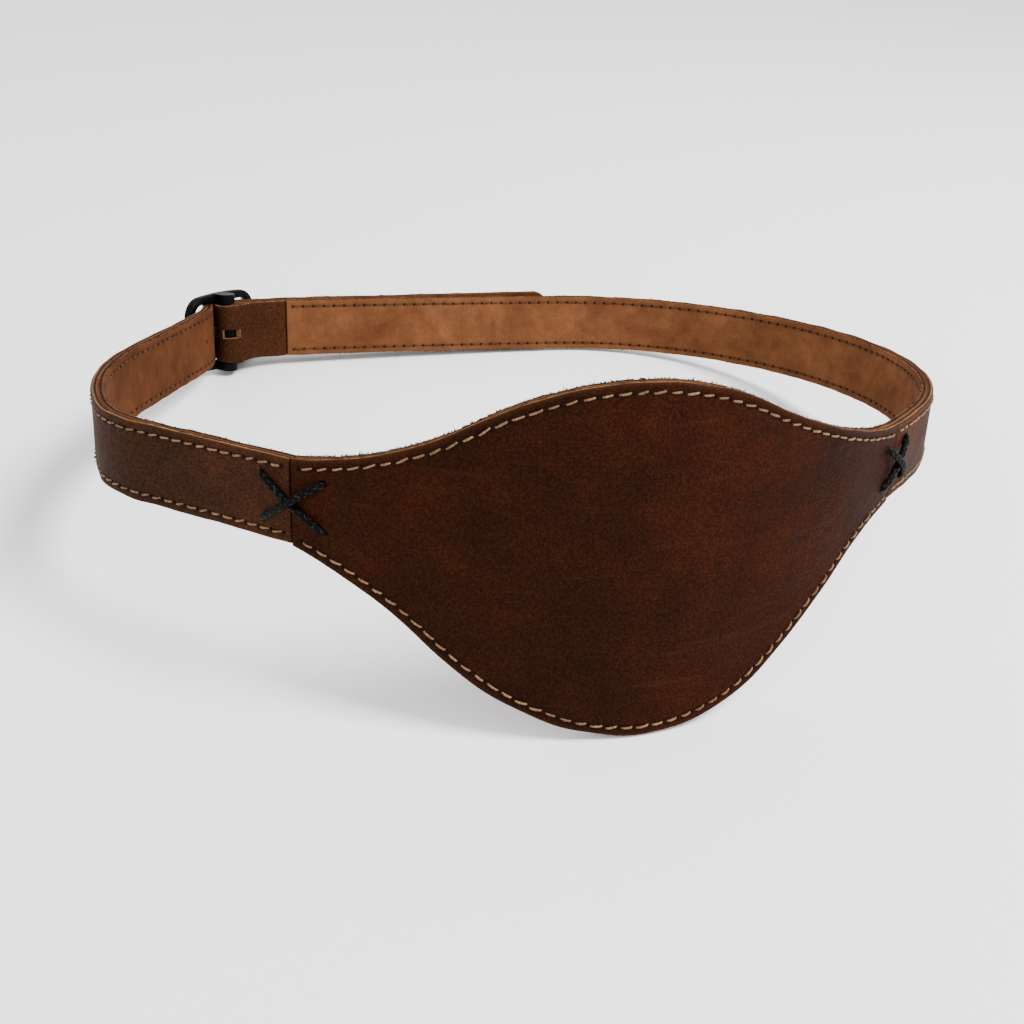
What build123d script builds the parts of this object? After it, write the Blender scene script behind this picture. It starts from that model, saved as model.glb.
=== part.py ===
from build123d import *
from math import acos, copysign, cos, degrees, pi, radians, sin
import os

# Leather eye patch: a curved two-ply patch, laced to a billet strap and a buckle strap.
#
# Two frames are used. The band frame has u to the right, v to the back and z along the
# width of the straps, with its origin midway between the two seams of the patch. BAND places
# that frame in the part's own frame, leaning back as the patch stands on a table: the lowest
# point of the patch, the foot of the buckle and the back of the straps touch z = 0.
# Lengths are in millimetres and angles in degrees.

os.makedirs("parts", exist_ok=True)

# Driving dimensions: leather
strap_width = 16.0
ply = 1.45                 # one layer; every strap is a face ply on a lining ply
patch_radius = 92.0        # outer face of the patch
patch_half_angle = 42.5
seam_kink = 6.0            # the laced seams let each strap turn a little from the patch
seam_gap = 0.2
lie_gap = 0.4              # between leathers that only lie on each other

# Driving dimensions: plan of the straps, as bends (length, turn), a left turn positive
billet_bends = [(36.8, 1.5), (18.0, -35.0), (51.0, -33.0), (40.8, 0.0), (14.0, 23.0)]
buckle_strap_bends = [(19.8, 5.5), (127.5, 91.5), (48.0, 43.5), (82.0, 4.0)]
fold_lead = [(8.0, 18.0)]  # the last bend of the face ply before its fold
spread_length = 5.0        # half of the S that opens the leather round the centre pin
spread_turn = 24.0
return_gap = 0.4           # between the end of the fold's return and the lining
glue_gap = 0.12            # between the return and the leather that it is glued to
tail_length = 81.0         # billet beyond the buckle, along the back

# Driving dimensions: edges of the patch seen from in front, each (start, heading, bends).
# Both run a little past the seams, where the patch is cut square to its curve.
top_edge = ((-63.64, 7.92), 7.1,
            [(1.5, 0.0), (29.5, 23.5), (56.5, -55.5), (44.5, 17.5), (1.5, 0.0)])
bottom_edge = ((-63.53, -7.76), -23.5,
               [(1.5, 0.0), (26.0, -23.5), (31.5, 29.5), (42.5, 57.5), (25.0, 1.5),
                (19.5, -40.0), (1.5, 0.0)])

# Driving dimensions: stitching and lacing
stitch_inset = 1.7
thread = 0.5
thread_sunk = 0.15
thread_proud = 0.15
lace_radius = 0.85
lace_clear = 0.06
lace_bend = 1.05
cross_half_width = 6.6
cross_half_height = 4.6
seam_bulge = 0.7           # the seam stands outward of the line between the lacing holes
knot_radius = 2.0
knot_reach = 1.0           # the lace's ends stop this far above and below the knot's middle

# Driving dimensions: buckle
pin_radius = 1.1
buckle_turn = 44.0         # the frame's long axis, from the u axis
frame_length = 27.0
frame_height = 21.8
frame_bar = 2.55
frame_thick = 2.4
frame_rise = 3.5           # middle of the frame, outward of the centre pin
frame_shift = 0.8          # middle of the frame, to the right of the pin
frame_bow = 1.0            # the rails are this much thinner at their ends
frame_corner = 5.5
frame_round = 0.7
lug_width = 4.4
prong_width = 1.8
prong_thick = 1.1
prong_length = 13.8
prong_heading = 194.0      # from the pin to the prong's tip, from the u axis
prong_lift = 30.0          # how far the prong swings out of the leather
prong_room = 16.0          # half the turn its own thickness takes up, at the billet
fold_slot = 6.8            # reach of the prong's slot from the pin, and its two ends
fold_slot_turns = (59.0, 341.0)
running_clearance = 0.06
slot_clearance = 0.35

# Driving dimensions: the billet's tip and its spare holes
tip_radius = 4.5
hole_pitch = 13.0
hole_radius = 0.8
adjust_holes = (-1, 1, 2, 3, 4)   # pitches from the hole in use

# How the band stands
lean_back = 10.67
lean_side = 1.75
band_origin = (-4.27, -62.34, 37.12)

tilted = Plane.XY.rotated((-lean_back, lean_side, 0))
BAND = Plane(origin=band_origin, x_dir=tilted.x_dir, z_dir=tilted.z_dir)

# Derived sizes
half_width = strap_width / 2
patch_middle_radius = patch_radius - ply
patch_centre = patch_radius * cos(radians(patch_half_angle))
spread_radius = spread_length / radians(spread_turn)
fold_radius = 2 * spread_radius * (1 - cos(radians(spread_turn)))
billet_wrap = fold_radius + 2 * ply + lie_gap      # billet's middle line, from the pin
tail_shift = 2 * ply + lie_gap                     # from the buckle strap's middle line


def band_point(u, v, z):
    """A point of the band frame, in the part's frame."""
    return BAND.from_local_coords(Vector(u, v, z))


def band_direction(u, v, z):
    """A direction of the band frame, in the part's frame."""
    return band_point(u, v, z) - band_point(0, 0, 0)


def follow(start, heading, bends):
    """Where a path of bends ends, and its heading there."""
    u, v = start
    for length, turn in bends:
        middle = radians(heading + turn / 2)
        half = radians(turn / 2)
        chord = length * (sin(half) / half if turn else 1)
        u, v = u + chord * cos(middle), v + chord * sin(middle)
        heading += turn
    return (u, v), heading


def part_way(bends, distance):
    """The bends of a path up to a distance along it."""
    passed = []
    for length, turn in bends:
        if distance <= length:
            passed.append((distance, turn * distance / length))
            return passed
        passed.append((length, turn))
        distance -= length
    return passed


def reversed_bends(bends, shift):
    """The same path walked backwards, as seen by a line shifted away from its bends."""
    return [(length + radians(turn) * shift, -turn) for length, turn in reversed(bends)]


def edge_line(start, heading, bends, shift):
    """Tangent lines and arcs along a path, shifted to its left. Returns its two ends."""
    turned = radians(heading)
    at = Vector(*start) + Vector(-sin(turned), cos(turned)) * shift
    along = Vector(cos(turned), sin(turned))
    first = at
    for length, turn in bends:
        if turn:
            radius = abs(length / radians(turn)) - shift * copysign(1, turn)
            piece = JernArc(at, along, radius, turn)
        else:
            piece = Line(at, at + along * length)
        at, along = piece @ 1, piece % 1
    return first, at


def between(first, first_shift, second, second_shift):
    """Face between two shifted paths that run the same way."""
    with BuildLine() as outline:
        first_ends = edge_line(*first, first_shift)
        second_ends = edge_line(*second, second_shift)
        Line(first_ends[0], second_ends[0])
        Line(first_ends[1], second_ends[1])
    make_face(outline.edges())


def leather(path, right, left, low=-half_width, high=half_width, mode=Mode.ADD):
    """A layer that follows a path, from one height of the band to another."""
    with BuildSketch(BAND.offset(low)) as section:
        between(path, right, path, left)
    extrude(section.sketch, amount=high - low, mode=mode)


def stretch(path, begin, end):
    """The part of a path between two distances along it."""
    start, heading, bends = path
    before = part_way(bends, begin)
    start, heading = follow(start, heading, before)
    length, turn = bends[len(before) - 1]
    left = length - before[-1][0]
    rest = [(left, turn * left / length)] + list(bends[len(before):])
    return start, heading, part_way(rest, end - begin)


def path_length(path):
    """Length of a path along its own line."""
    return sum(length for length, _ in path[2])


def square_to(path, distance, out, outward):
    """Plane that faces out of a path, at a distance along it. Its X runs along the path."""
    start, heading, bends = path
    (u, v), heading = follow(start, heading, part_way(bends, distance))
    h = radians(heading)
    normal = (-sin(h) * outward, cos(h) * outward, 0)
    return Plane(
        origin=band_point(u + normal[0] * out, v + normal[1] * out, 0),
        x_dir=band_direction(cos(h), sin(h), 0),
        z_dir=band_direction(*normal),
    )


# Paths: (start, heading, bends), each on the line between the two plies
left_seam = (-patch_middle_radius * sin(radians(patch_half_angle)),
             patch_centre - patch_middle_radius * cos(radians(patch_half_angle)))
right_seam = (-left_seam[0], left_seam[1])
patch_arc = 2 * patch_half_angle
patch_path = (left_seam, -patch_half_angle,
              [(radians(patch_arc) * patch_middle_radius, patch_arc)])

buckle_heading = patch_half_angle - seam_kink
buckle_start, _ = follow(right_seam, buckle_heading, [(seam_gap, 0)])
spread = [(spread_length, -spread_turn), (spread_length, spread_turn)]
gather_turn = degrees(acos(1 - (fold_radius - glue_gap) / (2 * spread_radius)))
gather_length = spread_radius * radians(gather_turn)
settle = 2 * spread_radius * (sin(radians(spread_turn)) - sin(radians(gather_turn)))
gather = [(gather_length, gather_turn), (gather_length, -gather_turn), (settle, 0)]
fold = [(pi * fold_radius, 180.0)]
fold_back = gather + reversed_bends(fold_lead, -glue_gap)
fold_back[-1] = (fold_back[-1][0] - return_gap, fold_back[-1][1])
lining_path = (buckle_start, buckle_heading, buckle_strap_bends)
folded_path = (buckle_start, buckle_heading,
               buckle_strap_bends + fold_lead + spread + fold + fold_back)

# The centre pin stands in the middle of the fold
lead_end, fold_heading = follow(buckle_start, buckle_heading, buckle_strap_bends + fold_lead)
pin_centre, _ = follow(lead_end, fold_heading,
                       [(2 * spread_radius * sin(radians(spread_turn)), 0)])

billet_heading = 180 - patch_half_angle - seam_kink
billet_start, _ = follow(left_seam, billet_heading, [(seam_gap, 0)])
_, wrap_heading = follow(billet_start, billet_heading, billet_bends)
tail_heading = fold_heading - 180
wrap = [(radians(wrap_heading - tail_heading) * billet_wrap, tail_heading - wrap_heading)]
tail_bend_length, tail_bend = reversed_bends(buckle_strap_bends[-1:], tail_shift)[0]
tail = (reversed_bends(fold_lead, tail_shift)
        + [(tail_length, tail_bend * tail_length / tail_bend_length)])
billet_path = (billet_start, billet_heading, billet_bends + wrap + spread + tail)
billet_length = path_length(billet_path)
to_pin = sum(length for length, _ in billet_bends)

# The patch is cut to shape from in front, out of a block a little larger than it
front = Plane(
    origin=band_point(0, 12, 0),
    x_dir=band_direction(1, 0, 0),
    z_dir=band_direction(0, -1, 0),
)
front_depth = 40.0
patch_low, patch_high = -44.0, 28.0


def cut_to_front(first, first_shift, second, second_shift):
    """Keep what lies between two lines of the patch, seen from in front."""
    with BuildSketch(front) as outline:
        between(first, first_shift, second, second_shift)
    extrude(outline.sketch, amount=front_depth, mode=Mode.INTERSECT)


# Patch: a face and a lining, cut from one outline
with BuildPart() as patch_face:
    leather(patch_path, -ply, 0, patch_low, patch_high)
    cut_to_front(bottom_edge, 0, top_edge, 0)

with BuildPart() as patch_lining:
    leather(patch_path, 0, ply, patch_low, patch_high)
    cut_to_front(bottom_edge, 0, top_edge, 0)

# Holes for the lacing: two each side of each seam, in the patch and in the strap
patch_length = path_length(patch_path)
from_seams = (cross_half_width, patch_length - cross_half_width)


def lace_holes(path, distance):
    """Two holes square through the leather, at a distance along its path."""
    with BuildSketch(square_to(path, distance, -2 * ply, 1)) as holes:
        with Locations((0, cross_half_height), (0, -cross_half_height)):
            Circle(lace_radius + lace_clear)
    extrude(holes.sketch, amount=4 * ply, mode=Mode.SUBTRACT)


with patch_face:
    for place in from_seams:
        lace_holes(patch_path, place)

with patch_lining:
    for place in from_seams:
        lace_holes(patch_path, place)

# Billet strap: it passes outside the centre pin and lies along the outside of the back
hub = Vector(*pin_centre)


def from_hub(reach, turn):
    """A point of the plan at a distance and heading from the centre pin."""
    return hub + Vector(reach, 0).rotate(Axis.Z, turn)


def prong_slot(reach, start_turn, end_turn):
    """Cut a leather over a sector about the centre pin, as tall as the prong's slot."""
    height = prong_width + 2 * slot_clearance
    with BuildSketch(BAND.offset(-height / 2)) as sector:
        with BuildLine() as outline:
            first, last = from_hub(reach, start_turn), from_hub(reach, end_turn)
            Line(hub, first)
            ThreePointArc(first, from_hub(reach, (start_turn + end_turn) / 2), last)
            Line(last, hub)
        make_face(outline.edges())
    extrude(sector.sketch, amount=height, mode=Mode.SUBTRACT)


def billet_ply(right, left):
    """One ply of the billet, with its rounded tip, the prong's hole and the spare holes."""
    leather(billet_path, right, left)
    tip = square_to(billet_path, billet_length, 0, 1).origin
    across = BuildPart._get_context().part.edges().filter_by(lambda e: abs(e.length - ply) < 0.01)
    fillet(across.sort_by_distance(tip)[:2], tip_radius)
    prong_slot(billet_wrap + 2 * ply, prong_heading - prong_lift - prong_room,
               prong_heading + prong_room)
    for pitch in adjust_holes:
        plane = square_to(billet_path, to_pin + pitch * hole_pitch, -2 * ply, 1)
        with BuildSketch(plane) as hole:
            Circle(hole_radius)
        extrude(hole.sketch, amount=4 * ply, mode=Mode.SUBTRACT)
    lace_holes(billet_path, cross_half_width)


with BuildPart() as billet_face:
    billet_ply(0, ply)

with BuildPart() as billet_lining:
    billet_ply(-ply, 0)

# Buckle strap: its face ply folds round the centre pin and returns to meet the lining
with BuildPart() as buckle_strap_face:
    leather(folded_path, -ply, 0)
    prong_slot(fold_slot, *fold_slot_turns)
    lace_holes(folded_path, cross_half_width)

with BuildPart() as buckle_strap_lining:
    leather(lining_path, 0, ply)
    lace_holes(lining_path, cross_half_width)

# Stitching: each row lies in both faces of the leather, half sunk
row_height = half_width - stitch_inset
left_face = (ply - thread_sunk, ply + thread_proud)
right_face = (-ply - thread_proud, -ply + thread_sunk)


def strap_row(path, height):
    """One row along a strap, in both of its faces."""
    for face in (left_face, right_face):
        leather(path, *face, height - thread / 2, height + thread / 2)


sewn_billet = stretch(billet_path, stitch_inset, billet_length - stitch_inset)
sewn_tip = stretch(billet_path, billet_length - stitch_inset - thread, billet_length - stitch_inset)
with BuildPart() as billet_stitching:
    strap_row(sewn_billet, row_height)
    strap_row(sewn_billet, -row_height)
    for face in (left_face, right_face):
        leather(sewn_tip, *face, -row_height, row_height)

sewn_buckle_strap = stretch(lining_path, stitch_inset, path_length(lining_path) - stitch_inset)
with BuildPart() as buckle_strap_stitching_top:
    strap_row(sewn_buckle_strap, row_height)

with BuildPart() as buckle_strap_stitching_bottom:
    strap_row(sewn_buckle_strap, -row_height)

row_edges = (stitch_inset - thread / 2, stitch_inset + thread / 2)
row_end = top_edge[2][0][0] + stitch_inset     # rows stop short of the seams


def patch_row(edge, inward):
    """One row along an edge of the patch, in both of its faces."""
    row = stretch(edge, row_end, path_length(edge) - row_end)
    for face in (left_face, right_face):
        leather(patch_path, *face, patch_low, patch_high)
    cut_to_front(row, row_edges[0] * inward, row, row_edges[1] * inward)


with BuildPart() as patch_stitching_top:
    patch_row(top_edge, -1)

with BuildPart() as patch_stitching_bottom:
    patch_row(bottom_edge, 1)

# Lacing: one cord crosses each seam twice outside and returns straight up inside
lace_out = ply + lace_radius + lace_clear
cross_over = 2 * lace_radius + lace_clear      # the second arm climbs over the first


def leather_point(path, distance, up, out, outward):
    """A point at a distance along a path, a height up the band and outward of its middle."""
    start, heading, bends = path
    (u, v), heading = follow(start, heading, part_way(bends, distance))
    h = radians(heading)
    return band_point(u - sin(h) * out * outward, v + cos(h) * out * outward, up)


def cross_lacing(patch_end, strap_end):
    """The lace's solid. Each end is a function of (up, out) at that side's holes."""
    high, low = cross_half_height, -cross_half_height
    middle = (patch_end(0, lace_out) + strap_end(0, lace_out)) * 0.5
    bulge = (strap_end(0, lace_out + 1) - strap_end(0, lace_out)).normalized()
    under = middle + bulge * seam_bulge
    over = under + bulge * cross_over
    points = [
        strap_end(knot_reach, -lace_out), strap_end(high, -lace_out), strap_end(high, lace_out),
        under, patch_end(low, lace_out), patch_end(low, -lace_out),
        patch_end(high, -lace_out), patch_end(high, lace_out), over,
        strap_end(low, lace_out), strap_end(low, -lace_out), strap_end(-knot_reach, -lace_out),
    ]
    radii = [6.0 if corner in (2, 7) else lace_bend for corner in range(len(points) - 2)]
    with BuildLine() as route:
        FilletPolyline(*points, radius=radii)
    with BuildSketch(Plane(origin=route.line @ 0, z_dir=route.line % 0)) as section:
        Circle(lace_radius)
    sweep(section.sketch, path=route.line)
    knot_centre = strap_end(0, -ply - knot_radius - lace_clear)
    with Locations(Plane(origin=knot_centre, z_dir=BAND.z_dir)):
        Sphere(knot_radius)


with BuildPart() as left_cross_lacing:
    cross_lacing(
        lambda up, out: leather_point(patch_path, from_seams[0], up, out, -1),
        lambda up, out: leather_point(billet_path, cross_half_width, up, out, 1),
    )

with BuildPart() as right_cross_lacing:
    cross_lacing(
        lambda up, out: leather_point(patch_path, from_seams[1], up, out, -1),
        lambda up, out: leather_point(folded_path, cross_half_width, up, out, -1),
    )

# Buckle: an arched frame on lugs, its centre pin, and the prong that turns on the pin
half_height = frame_height / 2
half_length = frame_length / 2
rail_inside = half_height - frame_bar


def on_buckle(along, out):
    """A point of the plan, along the frame and outward of the centre pin."""
    return hub + Vector(along, out).rotate(Axis.Z, buckle_turn)


turned = radians(buckle_turn)
face_on = Plane(
    origin=band_point(*on_buckle(frame_shift, frame_rise - frame_thick / 2)),
    x_dir=band_direction(cos(turned), sin(turned), 0),
    z_dir=band_direction(-sin(turned), cos(turned), 0),
)

with BuildPart() as buckle_frame:
    with BuildSketch(face_on):
        with BuildLine():
            low_rail = ThreePointArc((-half_length, frame_bow - half_height), (0, -half_height),
                                     (half_length, frame_bow - half_height))
            high_rail = ThreePointArc((half_length, half_height - frame_bow), (0, half_height),
                                      (-half_length, half_height - frame_bow))
            Line(low_rail @ 1, high_rail @ 0)
            Line(high_rail @ 1, low_rail @ 0)
        make_face()
        fillet(vertices(), frame_corner)
        RectangleRounded(frame_length - 2 * frame_bar, frame_height - 2 * frame_bar,
                         frame_corner - frame_bar, mode=Mode.SUBTRACT)
    extrude(amount=frame_thick)
    fillet(edges().filter_by(Axis(face_on.origin, face_on.z_dir), reverse=True), frame_round)
    for low in (-half_height, rail_inside):
        with BuildSketch(BAND.offset(low)):
            with Locations(on_buckle(0, 0)):
                Circle(lug_width / 2)
            with Locations(on_buckle(0, frame_rise / 2)):
                Rectangle(lug_width, frame_rise, rotation=buckle_turn)
        extrude(amount=frame_bar)
    with BuildSketch(BAND.offset(-half_height)):
        with Locations(hub):
            Circle(pin_radius)
    extrude(amount=frame_height, mode=Mode.SUBTRACT)

with BuildPart() as buckle_centre_pin:
    with BuildSketch(BAND.offset(-half_height)):
        with Locations(hub):
            Circle(pin_radius)
    extrude(amount=frame_height)

with BuildPart() as buckle_prong:
    ring_radius = pin_radius + running_clearance
    with BuildSketch(BAND.offset(-prong_width / 2)):
        with Locations(from_hub(prong_length / 2, prong_heading)):
            Rectangle(prong_length, prong_thick, rotation=prong_heading)
        with Locations(hub):
            Circle(ring_radius + prong_thick)
            Circle(ring_radius, mode=Mode.SUBTRACT)
    extrude(amount=prong_width)

patch_face.part.label = "patch_face"
export_step(patch_face.part, "parts/patch_face.step")
patch_lining.part.label = "patch_lining"
export_step(patch_lining.part, "parts/patch_lining.step")
billet_face.part.label = "billet_face"
export_step(billet_face.part, "parts/billet_face.step")
billet_lining.part.label = "billet_lining"
export_step(billet_lining.part, "parts/billet_lining.step")
buckle_strap_face.part.label = "buckle_strap_face"
export_step(buckle_strap_face.part, "parts/buckle_strap_face.step")
buckle_strap_lining.part.label = "buckle_strap_lining"
export_step(buckle_strap_lining.part, "parts/buckle_strap_lining.step")
patch_stitching_top.part.label = "patch_stitching_top"
export_step(patch_stitching_top.part, "parts/patch_stitching_top.step")
patch_stitching_bottom.part.label = "patch_stitching_bottom"
export_step(patch_stitching_bottom.part, "parts/patch_stitching_bottom.step")
billet_stitching.part.label = "billet_stitching"
export_step(billet_stitching.part, "parts/billet_stitching.step")
buckle_strap_stitching_top.part.label = "buckle_strap_stitching_top"
export_step(buckle_strap_stitching_top.part, "parts/buckle_strap_stitching_top.step")
buckle_strap_stitching_bottom.part.label = "buckle_strap_stitching_bottom"
export_step(buckle_strap_stitching_bottom.part, "parts/buckle_strap_stitching_bottom.step")
left_cross_lacing.part.label = "left_cross_lacing"
export_step(left_cross_lacing.part, "parts/left_cross_lacing.step")
right_cross_lacing.part.label = "right_cross_lacing"
export_step(right_cross_lacing.part, "parts/right_cross_lacing.step")
buckle_frame.part.label = "buckle_frame"
export_step(buckle_frame.part, "parts/buckle_frame.step")
buckle_centre_pin.part.label = "buckle_centre_pin"
export_step(buckle_centre_pin.part, "parts/buckle_centre_pin.step")
buckle_prong.part.label = "buckle_prong"
export_step(buckle_prong.part, "parts/buckle_prong.step")
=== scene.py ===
import bmesh
import bpy
import numpy as np
from mathutils import Matrix, Vector
from mathutils.kdtree import KDTree

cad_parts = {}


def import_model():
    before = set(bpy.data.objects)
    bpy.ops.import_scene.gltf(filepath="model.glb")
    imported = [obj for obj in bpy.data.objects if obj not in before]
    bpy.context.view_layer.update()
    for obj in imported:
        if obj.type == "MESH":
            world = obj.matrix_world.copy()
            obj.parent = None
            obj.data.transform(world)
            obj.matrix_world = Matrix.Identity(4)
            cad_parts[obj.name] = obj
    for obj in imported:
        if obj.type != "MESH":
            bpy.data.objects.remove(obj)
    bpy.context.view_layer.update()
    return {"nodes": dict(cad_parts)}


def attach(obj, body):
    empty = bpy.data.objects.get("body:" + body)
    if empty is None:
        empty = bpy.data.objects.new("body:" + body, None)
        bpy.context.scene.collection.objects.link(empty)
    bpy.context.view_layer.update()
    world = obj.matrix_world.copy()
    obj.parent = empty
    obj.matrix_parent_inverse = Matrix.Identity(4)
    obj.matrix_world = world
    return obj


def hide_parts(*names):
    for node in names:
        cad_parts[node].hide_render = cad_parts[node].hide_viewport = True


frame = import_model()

rng = np.random.default_rng(7)
MM = 0.001

# Dimensions shared with the CAD source, in millimetres and degrees
STRAP_WIDTH, PLY = 16.0, 1.45
PATCH_RADIUS, PATCH_HALF_ANGLE = 92.0, 42.5
SEAM_KINK, SEAM_GAP, LIE_GAP = 6.0, 0.2, 0.4
BILLET_BENDS = [(36.8, 1.5), (18.0, -35.0), (51.0, -33.0), (40.8, 0.0), (14.0, 23.0)]
BUCKLE_STRAP_BENDS = [(19.8, 5.5), (127.5, 91.5), (48.0, 43.5), (82.0, 4.0)]
FOLD_LEAD = [(8.0, 18.0)]
SPREAD_LENGTH, SPREAD_TURN = 5.0, 24.0
RETURN_GAP, GLUE_GAP, TAIL_LENGTH = 0.4, 0.12, 81.0
TOP_EDGE = ((-63.64, 7.92), 7.1,
            [(1.5, 0.0), (29.5, 23.5), (56.5, -55.5), (44.5, 17.5), (1.5, 0.0)])
BOTTOM_EDGE = ((-63.53, -7.76), -23.5,
               [(1.5, 0.0), (26.0, -23.5), (31.5, 29.5), (42.5, 57.5), (25.0, 1.5),
                (19.5, -40.0), (1.5, 0.0)])
STITCH_INSET, LACE_RADIUS = 1.7, 0.85
CROSS_HALF_WIDTH, CROSS_HALF_HEIGHT, SEAM_BULGE = 6.6, 4.6, 0.7
PRONG_WIDTH, SLOT_CLEARANCE = 1.8, 0.35
PRONG_HEADING, PRONG_LIFT, PRONG_ROOM = 194.0, 30.0, 16.0
FOLD_SLOT, FOLD_SLOT_START = 6.8, 59.0
TIP_RADIUS, HOLE_PITCH, HOLE_RADIUS = 4.5, 13.0, 0.8
ADJUST_HOLES = (-1, 1, 2, 3, 4)
LEAN_BACK, LEAN_SIDE = 10.67, 1.75
BAND_ORIGIN = np.array((-4.27, -62.34, 37.12))

# Dimensions of the looks alone, in the same units
EDGE_ROUND = 0.3                     # radius of the leather's cut corners
STITCH_PITCH = 3.0
GRID = 0.6                           # spacing of the leather's mesh
FROM_EDGE = (0.0, 0.07, 0.18, 0.32, 0.6, 1.0, 1.35, 1.7, 2.05, 2.4, 2.9)   # its rows by an edge
WAVER, EDGE_SWELL, FUZZ = 0.07, 0.03, 0.05          # unevenness of the cut edges
GROOVE_DEPTH, PIT_DEPTH, GROOVE_REACH = 0.10, 0.26, 0.42   # where the stitching pulls in
WEAR_REACH = 0.5                     # how far from an edge the face is rubbed
TAIL_RISE = 1.0                      # how far the billet's tip stands above the strap inside it
TAIL_RISE_START = 20.0               # distance past the pin where it starts to rise
FOLD_BRIDGE, WINDOW_END = (216.0, 241.0), 327.0   # bridge across the fold's slot, as headings
LACE_SEEN = 0.74                     # radius of the lace, pulled tight
LACE_SINK = 0.82                     # share of that radius by which the lace stands off
KNOT_RADIUS = 0.62                   # radius of the lace in its knots and tails
KNOT_OFF = 2.0                       # distance of a knot's middle from the lining
SPARE_HOLE_REACH = 2.4               # half the length of a spare hole's cutter

HALF = STRAP_WIDTH / 2
tilt = (Matrix.Rotation(np.radians(-LEAN_BACK), 3, "X")
        @ Matrix.Rotation(np.radians(LEAN_SIDE), 3, "Y"))
BAND_AXES = np.array(tilt)                       # columns are the band's u, v and z


def world(points):
    """Band frame, millimetres, to the part's frame, metres."""
    return (np.asarray(points, float) @ BAND_AXES.T + BAND_ORIGIN) * MM


# ---------------------------------------------------------------- paths
def walk(path, distances):
    """(u, v) and headings in radians at distances along a path of bends."""
    start, heading, bends = path
    at, h = np.array(start, float), np.radians(heading)
    distances = np.asarray(distances, float)
    out, angle = np.zeros((len(distances), 2)), np.zeros(len(distances))
    begin = 0.0
    for i, (length, turn) in enumerate(bends):
        last = i == len(bends) - 1
        here = np.ones(len(distances), bool) if i == 0 else distances > begin
        if not last:
            here &= distances <= begin + length
        curve = np.radians(turn) / length

        def place(t):
            if abs(curve) < 1e-9:
                return at + np.outer(t, (np.cos(h), np.sin(h)))
            return at + np.stack([np.sin(h + curve * t) - np.sin(h),
                                  np.cos(h) - np.cos(h + curve * t)], 1) / curve
        t = distances[here] - begin
        out[here], angle[here] = place(t), h + curve * t
        at = place(np.array([length]))[0]
        h += curve * length
        begin += length
    return out, angle


def path_length(path):
    return sum(length for length, _ in path[2])


def end_of(path):
    at, h = walk(path, [path_length(path)])
    return tuple(at[0]), np.degrees(h[0])


def reversed_bends(bends, shift):
    return [(length + np.radians(turn) * shift, -turn) for length, turn in reversed(bends)]


middle_radius = PATCH_RADIUS - PLY
patch_centre = PATCH_RADIUS * np.cos(np.radians(PATCH_HALF_ANGLE))
spread_radius = SPREAD_LENGTH / np.radians(SPREAD_TURN)
fold_radius = 2 * spread_radius * (1 - np.cos(np.radians(SPREAD_TURN)))
billet_wrap = fold_radius + 2 * PLY + LIE_GAP
tail_shift = 2 * PLY + LIE_GAP

left_seam = (-middle_radius * np.sin(np.radians(PATCH_HALF_ANGLE)),
             patch_centre - middle_radius * np.cos(np.radians(PATCH_HALF_ANGLE)))
right_seam = (-left_seam[0], left_seam[1])
patch_arc = 2 * PATCH_HALF_ANGLE
patch_path = (left_seam, -PATCH_HALF_ANGLE,
              [(np.radians(patch_arc) * middle_radius, patch_arc)])
buckle_heading = PATCH_HALF_ANGLE - SEAM_KINK
buckle_start, _ = end_of((right_seam, buckle_heading, [(SEAM_GAP, 0)]))
spread = [(SPREAD_LENGTH, -SPREAD_TURN), (SPREAD_LENGTH, SPREAD_TURN)]
gather_turn = np.degrees(np.arccos(1 - (fold_radius - GLUE_GAP) / (2 * spread_radius)))
gather_length = spread_radius * np.radians(gather_turn)
settle = 2 * spread_radius * (np.sin(np.radians(SPREAD_TURN)) - np.sin(np.radians(gather_turn)))
gather = [(gather_length, gather_turn), (gather_length, -gather_turn), (settle, 0)]
fold_back = gather + reversed_bends(FOLD_LEAD, -GLUE_GAP)
fold_back[-1] = (fold_back[-1][0] - RETURN_GAP, fold_back[-1][1])
lining_path = (buckle_start, buckle_heading, BUCKLE_STRAP_BENDS)
folded_path = (buckle_start, buckle_heading, BUCKLE_STRAP_BENDS + FOLD_LEAD + spread
               + [(np.pi * fold_radius, 180.0)] + fold_back)
lead_end, fold_heading = end_of((buckle_start, buckle_heading, BUCKLE_STRAP_BENDS + FOLD_LEAD))
hub, _ = end_of((lead_end, fold_heading,
                 [(2 * spread_radius * np.sin(np.radians(SPREAD_TURN)), 0)]))
billet_heading = 180 - PATCH_HALF_ANGLE - SEAM_KINK
billet_start, _ = end_of((left_seam, billet_heading, [(SEAM_GAP, 0)]))
_, wrap_heading = end_of((billet_start, billet_heading, BILLET_BENDS))
tail_heading = fold_heading - 180
wrap = [(np.radians(wrap_heading - tail_heading) * billet_wrap, tail_heading - wrap_heading)]
tail_bend_length, tail_bend = reversed_bends(BUCKLE_STRAP_BENDS[-1:], tail_shift)[0]
tail = (reversed_bends(FOLD_LEAD, tail_shift)
        + [(TAIL_LENGTH, tail_bend * TAIL_LENGTH / tail_bend_length)])
billet_path = (billet_start, billet_heading, BILLET_BENDS + wrap + spread + tail)
billet_length, patch_length = path_length(billet_path), path_length(patch_path)
to_pin = sum(length for length, _ in BILLET_BENDS)


def lay(path, s, z, n):
    """Band frame points at distances s, heights z and offsets n to the left of a path."""
    (uv, h) = walk(path, s)
    return np.stack([uv[:, 0] - np.sin(h) * n, uv[:, 1] + np.cos(h) * n, z], 1)


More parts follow.
